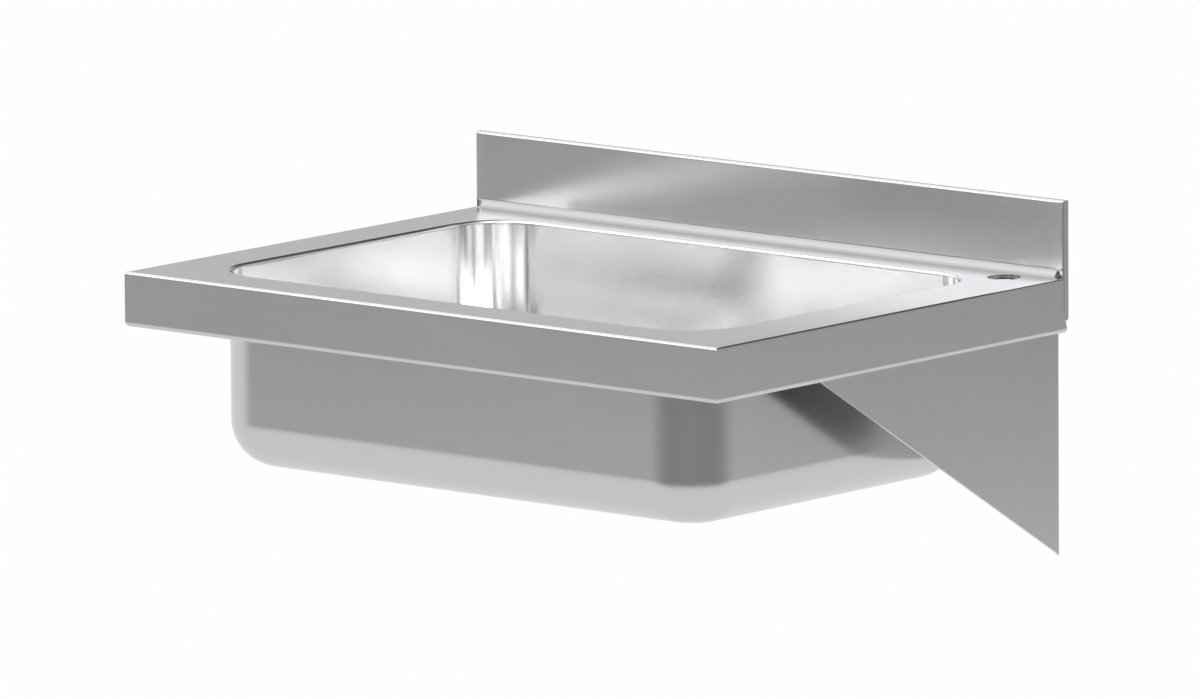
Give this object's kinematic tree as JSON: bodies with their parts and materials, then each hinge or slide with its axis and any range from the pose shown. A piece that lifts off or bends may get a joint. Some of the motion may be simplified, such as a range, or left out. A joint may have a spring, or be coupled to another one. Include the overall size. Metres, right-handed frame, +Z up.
{
  "type": "wall-hung hand wash sink",
  "caption": "Wall-hung stainless steel hand wash sink with a folded deck, low upstand, pressed bowl, tap hole at the right rear corner and triangular wall brackets.",
  "frame": {"origin": "the middle of the four wall fixing holes, on the wall plane that the brackets stand against", "axes": "+X to the right seen from the front and along the width, +Y into the wall, +Z up"},
  "size_m": [0.5, 0.355, 0.2329],
  "materials": {
    "deck_steel": "fine satin grain along the deck's width",
    "bowl_steel": "polished inside, satin outside",
    "bracket_steel": "mill finish, even satin",
    "waste_chrome": "polished chrome plate",
    "seal_rubber": "matt black rubber",
    "slip_plastic": "natural polythene",
    "plug_rubber": "matt black rubber",
    "bitumen_pad": "matt bitumen damping sheet"
  },
  "bodies": {
    "sink": {"deck": "deck_steel", "upstand": "deck_steel", "bowl": "bowl_steel", "bracket_left": "bracket_steel", "bracket_right": "bracket_steel", "tap_hole_plate": "bracket_steel", "sound_pad": "bitumen_pad", "earth_tag": "bracket_steel", "waste_body": "waste_chrome", "waste_top_seal": "slip_plastic", "waste_bottom_seal": "seal_rubber", "waste_slip_washer": "slip_plastic", "waste_back_nut": "waste_chrome"},
    "plug": {"plug_rubber": "plug_rubber", "plug_cap": "waste_chrome", "plug_rivet": "waste_chrome"},
    "bail": {"plug_bail": "waste_chrome"}
  },
  "joints": [
    {"name": "plug_lift", "type": "slide", "parent": "sink", "child": "plug", "axis": [0, 0, 1], "range_m": [0, 0.06]},
    {"name": "bail_swing", "type": "hinge", "parent": "plug", "child": "bail", "pos_m": [-0.00325, -0.11, -0.0226], "axis": [-1, 0, 0], "range_deg": [0, 180]}
  ]
}
